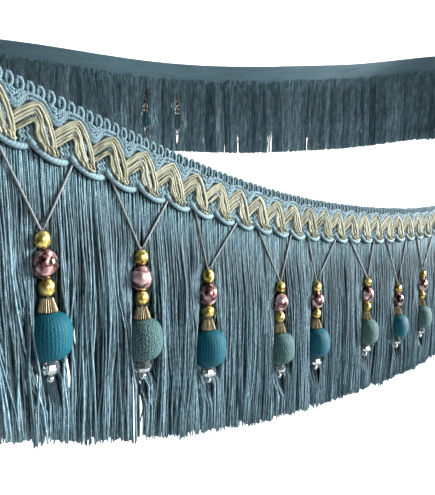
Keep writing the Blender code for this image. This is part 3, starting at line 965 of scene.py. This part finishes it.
# %% The four layers
LAYER_TABLE = {
    "name": ("fringe_front_cords", "fringe_second_cords", "fringe_middle_cords", "fringe_back_cords"),
    "per_scallop": (8, 8, 10, 12),
    "plies": (3, 3, 1, 1),
    "radius": (0.33, 0.32, 0.55, 0.76),
    "lay": (2.0, 2.0, 2.0, 9.0),
    # Points on each cord, and the share of a pitch by which the layer is moved along
    "levels": (10, 9, 9, 9),
    "stagger": (0.5, 0.0, 0.3, 0.7),
    # How far out it hangs at the top and in the middle, and how much lower some of its cords start
    "root": (0.9, 0.0, -0.3, -1.9),
    "belly": (3.3, 2.7, 0.9, -1.7),
    "lower": (0.5, 5.5, 0.5, 9.0),
    # How freely its cords lean and sway, how far all of them drift, and whether they part for the beads
    "loose": (1.0, 1.0, 0.7, 0.08),
    "drift": (0.0, 0.0, 0.0, 2.6),
    "parts": (True, True, False, False),
    # Painted shade of the layer, more painted shade where it turns from the light, and the spread of shades
    "painted_shade_factor": (1.0, 0.75, 0.6, 0.7),
    "turned": (0.4, 0.4, 0.4, 0.0),
    "shade": (0.27, 0.27, 0.22, 0.09),
    "tuft_shade": (0.12, 0.12, 0.12, 0.24),
}
CORD_SIDES = 4
FIRST_SEED = 40
fringe_nodes = [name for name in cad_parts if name.startswith("fringe_")]
for i, values in enumerate(zip(*LAYER_TABLE.values())):
    layer = dict(zip(LAYER_TABLE, values))
    paths, shades, downs = hanging_cords(layer, FIRST_SEED + i)
    own = 1.12 - 0.24 * np.mod(np.arange(len(paths)) * 0.618, 1)
    thick = layer["radius"] * own[:, None] * (0.75 + 0.25 * smoothstep(21, 32, downs * TRIM_HEIGHT))
    cords = sweep_cords(layer["name"], paths, fringe_blue, shades, thick, CORD_SIDES, layer["lay"], downs)
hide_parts(*fringe_nodes)

# %% [markdown]
# ## The V of thread
#
# Each string of beads hangs on one fine waxed thread, sewn in at two joints of the lower edge. Its legs
# meet above the top bead and run on down through all the beads.

# %% Threads
THREAD_RADIUS = 0.48
THREAD_SIDES = 6
THREAD_LAY = 1.2
APEX_DOWN = 44.3
STRING_LENGTH = 41
legs, strings = [], []
for drop in range(DROPS):
    lean, short = drop_lean[drop], drop_short[drop]
    apex = (drop_alongs[drop] + lean, APEX_DOWN + drop_lower[drop] + short, DROP_OUT)
    for way in (-1, 1):
        joint = drop_joints[drop] + way * SCALLOP
        sewn = np.array((joint - way * 0.4, 20.6, 1.9))
        hung = np.array(apex) + (way * 0.35, 0, 0)
        legs.append([sewn + (0, -0.8, -1.4)] + [sewn + (hung - sewn) * s for s in np.linspace(0, 1, 6)])
    s = np.linspace(0, 1, 9)
    along = apex[0] - lean * np.minimum(1, 2.4 * s)
    down = apex[1] - 0.8 + s * (STRING_LENGTH - short)
    strings.append(np.stack([along, down, np.full(len(s), DROP_OUT)], axis=1))
random = np.random.default_rng(50)
for name, paths in (("drop_thread_legs", legs), ("drop_thread_strings", strings)):
    shades = random.random(len(paths))
    sweep_cords(name, paths, thread_taupe, shades, THREAD_RADIUS, THREAD_SIDES, THREAD_LAY)

# %% [markdown]
# ## Bead materials
#
# The small beads are polished brass, a little tarnished in spots. The larger ones are pressed glass with a
# copper and rose lustre, marbled with dark veins. The caps are cast and antiqued: dark in the flutes and
# bright on the ribs. Their lower rim is darkest, a painted shadow where the cap meets the ball.

# %% Metals and lustre
TARNISH_PER_MM = 0.42
VEINS_PER_MM = 0.28

gold, tree, shader = new_material("polished_brass_bead", Metallic=0.75, Roughness=0.3)
grain = add_node(tree, "TexCoord", "Object")
tarnish = add_node(tree, "TexNoise", "Fac", {"Vector": grain, "Scale": TARNISH_PER_MM / MM, "Detail": 2.0})
worn = add_node(tree, "MapRange", "Result", {"Value": tarnish, "From Min": 0.4, "From Max": 0.6})
finish_shader(tree, shader, worn, "#6E5518", "#E6D17C")

copper, tree, shader = new_material("copper_lustre_glass", Metallic=0.5, Roughness=0.22, Coat_Weight=0.6)
grain = add_node(tree, "TexCoord", "Object")
marbled = {"Vector": grain, "Scale": VEINS_PER_MM / MM, "Detail": 3.0, "Distortion": 0.8}
veins = add_node(tree, "ValToRGB", "Color", {"Fac": add_node(tree, "TexNoise", "Fac", marbled)})
stops = veins.node.color_ramp.elements
stops.new(0.51)
for stop, (position, dye) in zip(stops, ((0.43, "#1B0A0C"), (0.51, "#855857"), (0.65, "#F0CACA"))):
    stop.position = position
    stop.color = colour(dye)
fill_sockets(tree, shader, {"Base Color": veins})

antique, tree, shader = new_material("antiqued_cast_brass", Metallic=0.55, Roughness=0.6)
# The stored value: light on the ribs, dark patina in the flutes, and darkest on the rim as painted shadow
edge = add_node(tree, "Attribute", "Fac", attribute_name="ribs_patina_rim_shadow")
finish_shader(tree, shader, edge, "#30271A", "#B5A783")
print("beads:", gold.name, copper.name, antique.name)

# %% [markdown]
# The balls are wound with fine thread from pole to pole, so ridges run down them like the lines on a globe,
# and the thread's own twist speckles them. The crystal is cut lead glass, which bends light more than
# window glass does, so its index is 1.7. Light passes through it. In the photograph its facets also flash
# like small mirrors, and a part of metal in the mix gives them that.

# %% Ball thread and crystal
BALL_RIDGES = 40
SPECKS_ROUND = 85.0


def ball_material(name, dark, light, speckled):
    """Wound thread: ridges by the angle round the ball, painted shade in the furrows, broken up by fine
    twist.
    """
    material, tree, shader = new_material(name, Roughness=0.55, Specular_IOR_Level=0.12)
    wound = add_node(tree, "UVMap", "UV", uv_map="wound")
    bands = {"Vector": wound, "Scale": STRAIGHT_BAND * BALL_RIDGES, "Distortion": 0.0}
    ridges = add_node(tree, "TexWave", "Fac", bands, bands_direction="X")
    twist = add_node(tree, "TexNoise", "Fac", {"Vector": wound, "Scale": SPECKS_ROUND, "Detail": 1.0})
    dots = {"Value": twist, "From Min": 0.42, "From Max": 0.6, "To Min": 1 - speckled}
    specks = add_node(tree, "MapRange", "Result", dots)
    # Darker furrows between the ridges are painted shade; the same ridges also drive the bumps
    raised = add_node(tree, "MapRange", "Result", {"Value": ridges, "To Min": 0.6})
    mixed = add_node(tree, "Math", 0, {0: raised, 1: specks}, operation="MULTIPLY")
    spread = add_node(tree, "MapRange", "Result", {"Value": mixed, "From Min": 0.15, "From Max": 0.9})
    finish_shader(tree, shader, spread, dark, light, height=mixed, strength=0.7, distance=0.3)
    return material


ball_teal = ball_material("wound_thread_teal", "#021D26", "#085969", speckled=0.45)
ball_sage = ball_material("wound_thread_sage", "#0F2327", "#5E8484", speckled=1.0)
lead_glass = {"Base_Color": "#D5DDE0", "Metallic": 0.45, "Roughness": 0.04, "IOR": 1.7}
crystal = new_material("clear_cut_glass", Transmission_Weight=0.88, **lead_glass)[0]
print("balls:", ball_teal.name, ball_sage.name, "crystal:", crystal.name)

# %% [markdown]
# ## Modelling the beads
#
# Each kind of bead is modelled once, at the origin, from a primitive shaped in edit mode, and then copied
# to all its places, each kind into one mesh. A bead is a sphere with a hole, so its poles are pressed in
# towards the thread.

# %% Model one of each round bead


def start_bead(name, add, **settings):
    """Adds a primitive at the origin with nothing else selected, and leaves it in edit mode."""
    bpy.ops.object.select_all(action="DESELECT")
    add(location=(0, 0, 0), **settings)
    bead = bpy.context.object
    bead.name = name
    bpy.ops.object.mode_set(mode="EDIT")
    return bead


def round_bead(name, radius, segments, rings, pressed, taller=1.0):
    """A round bead, drawn out a little, with its two poles pressed in by a share of the radius."""
    size = radius * MM
    bead = start_bead(
        name, bpy.ops.mesh.primitive_uv_sphere_add, radius=size, segments=segments, ring_count=rings
    )
    work = bmesh.from_edit_mesh(bead.data)
    for way in (-1, 1):
        bpy.ops.mesh.select_all(action="DESELECT")
        for vert in work.verts:
            vert.select = vert.co.z * way > 0.999 * size
        work.select_flush_mode()
        bmesh.update_edit_mesh(bead.data)
        bpy.ops.transform.translate(value=(0, 0, -way * pressed * size))
    bpy.ops.mesh.select_all(action="SELECT")
    bpy.ops.transform.resize(value=(1, 1, taller))
    bpy.ops.object.mode_set(mode="OBJECT")
    bpy.ops.object.shade_smooth()
    return bead


gold_bead = round_bead("one_gold_bead", radius=2.65, segments=14, rings=10, pressed=0.3, taller=1.13)
copper_bead = round_bead(
    "one_copper_bead", radius=4.25, segments=20, rings=14, pressed=0.25, taller=1.14
)
seed_bead = round_bead("one_seed_bead", radius=1.5, segments=8, rings=6, pressed=0.3)
print("round beads:", [len(bead.data.polygons) for bead in (gold_bead, copper_bead, seed_bead)])

# %% [markdown]
# The ball is fuller than a sphere, because the thread is wound over a turned wooden core, and its points
# lie a little higher and lower in turn, as ridges. The crystal is a flat round bead with few sides, left
# unsmoothed, so that each face stays a facet.

# %% The wound ball and the cut crystal
BALL_SEGMENTS = 36
BALL_HALF_HEIGHT = 8.0
BALL_SQUARENESS = 2.7
RIDGE = 1.007
FURROW = 0.992
ball_bead = round_bead("one_ball", BALL_RADIUS, BALL_SEGMENTS, rings=18, pressed=0.02)
ball_bead.data.uv_layers.active.name = "wound"
for vert in ball_bead.data.vertices:
    level = vert.co.z / (BALL_RADIUS * MM)
    girth = math.hypot(vert.co.x, vert.co.y) / (BALL_RADIUS * MM)
    fuller = (abs(level) ** BALL_SQUARENESS + girth**BALL_SQUARENESS) ** (-1 / BALL_SQUARENESS)
    turn = round(math.atan2(vert.co.y, vert.co.x) / (2 * math.pi) * BALL_SEGMENTS)
    ridge = RIDGE if turn % 2 else FURROW
    vert.co.x *= fuller * ridge
    vert.co.y *= fuller * ridge
    vert.co.z *= fuller * BALL_HALF_HEIGHT / BALL_RADIUS

crystal_bead = round_bead("one_crystal", radius=3.5, segments=10, rings=6, pressed=0.25, taller=0.78)
bpy.ops.object.shade_flat()
print("ball faces:", len(ball_bead.data.polygons), "crystal faces:", len(crystal_bead.data.polygons))

# %% [markdown]
# The cap is a cone that opens over the ball. Every other line of points down its side is drawn in, which
# makes the flutes, and an inset lip leaves a thin rim. A stored value marks the ribs light and the flutes
# dark with patina, and paints the rim darkest, as the shadow where the cap meets the ball.

# %% The fluted cap
CAP_SIDES = 48
CAP_SHADOWED_RIM = -2.2 * MM
FLUTE = 0.86
cap_bead = start_bead(
    "one_cap",
    bpy.ops.mesh.primitive_cone_add,
    vertices=CAP_SIDES,
    radius1=3.2 * MM,
    radius2=1.9 * MM,
    depth=4.0 * MM,
    end_fill_type="NGON",
)
work = bmesh.from_edit_mesh(cap_bead.data)
bpy.ops.mesh.select_all(action="DESELECT")
for face in work.faces:
    face.select = face.normal.z < -0.9
bmesh.update_edit_mesh(cap_bead.data)
bpy.ops.mesh.extrude_region_move(TRANSFORM_OT_translate={"value": (0, 0, -0.5 * MM)})
bpy.ops.mesh.inset(thickness=0.5 * MM)
bpy.ops.transform.translate(value=(0, 0, 0.4 * MM))
bpy.ops.object.mode_set(mode="OBJECT")
ribs_patina_rim_shadow = cap_bead.data.attributes.new("ribs_patina_rim_shadow", "FLOAT", "POINT")
for vert in cap_bead.data.vertices:
    turn = round(math.atan2(vert.co.y, vert.co.x) / (2 * math.pi) * CAP_SIDES)
    raised = turn % 2 == 0
    # Ribs 1 and flutes 0.1 for their patina; below the rim 0, a painted shadow where the cap meets the ball
    ribs_patina_rim_shadow.data[vert.index].value = (1.0 if raised else 0.1) if vert.co.z > CAP_SHADOWED_RIM else 0.0
    if not raised:
        vert.co.x *= FLUTE
        vert.co.y *= FLUTE
print("cap faces:", len(cap_bead.data.polygons))

# %% [markdown]
# Now each bead is copied to its level on every string, turned by a random angle, so that no two look the
# same. On a string that leans, the upper beads stand further aside.

# %% Copy the beads to their places


def copy_beads(name, bead, spots, material):
    """One mesh that holds a copy of the bead at every spot (along, down, turn about the thread)."""
    work = bmesh.new()
    for along, down, turn in spots:
        before = len(work.verts)
        work.from_mesh(bead.data)
        work.verts.ensure_lookup_table()
        spot = Matrix.Translation(place(along, down, DROP_OUT)) @ Matrix.Rotation(turn, 4, "Z")
        bmesh.ops.transform(work, matrix=spot, verts=work.verts[before:])
    mesh = bpy.data.meshes.new(name)
    work.to_mesh(mesh)
    work.free()
    piece = add_piece(name, mesh, material)
    print(name, "copies:", len(spots), "faces:", len(mesh.polygons))
    return piece


# Each piece of beads: the bead, its material and its slot
BEADS = {
    "gold_beads": (gold_bead, gold, "gold_bead"),
    "copper_beads": (copper_bead, copper, "copper_bead"),
    "bead_caps": (cap_bead, antique, "bead_cap"),
    "balls_teal": (ball_bead, ball_teal, "ball_teal"),
    "balls_sage": (ball_bead, ball_sage, "ball_sage"),
    "crystals": (crystal_bead, crystal, "crystal"),
    "seed_beads": (seed_bead, crystal, "crystal"),
}

# One string from the top: each bead's piece, its level, and its share of the lean
STRING = (
    ("gold_beads", 47.3, 0.9),
    ("copper_beads", 54.8, 0.4),
    ("gold_beads", 62.3, 0.0),
    ("bead_caps", 67.6, 0.0),
    ("balls", 77.9, 0.0),
    ("crystals", 88.3, 0.0),
    ("seed_beads", 92.0, 0.0),
)
LOWER_GOLD = 2
random = np.random.default_rng(60)
spots = {name: [] for name in BEADS}
for drop in range(DROPS):
    turns = random.uniform(0, 2 * math.pi, len(STRING))
    for i, (name, level, share) in enumerate(STRING):
        if drop == SHORT_DROP and i == LOWER_GOLD:
            continue
        if name == "balls":
            name = "balls_" + drop_colours[drop]
        along = drop_alongs[drop] + share * drop_lean[drop]
        down = level + drop_lower[drop] + (drop_short[drop] if i < LOWER_GOLD else 0)
        spots[name].append((along, down, turns[i]))
for name, (bead, material, slot) in BEADS.items():
    copy_beads(name, bead, spots[name], material)
drop_nodes = sorted(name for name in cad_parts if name.startswith("drop_"))
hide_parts(*[name for name in drop_nodes if name.endswith("teal")])
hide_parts(*[name for name in drop_nodes if name.endswith("sage")])
for bead in (gold_bead, copper_bead, seed_bead, ball_bead, crystal_bead, cap_bead):
    bpy.data.objects.remove(bead)
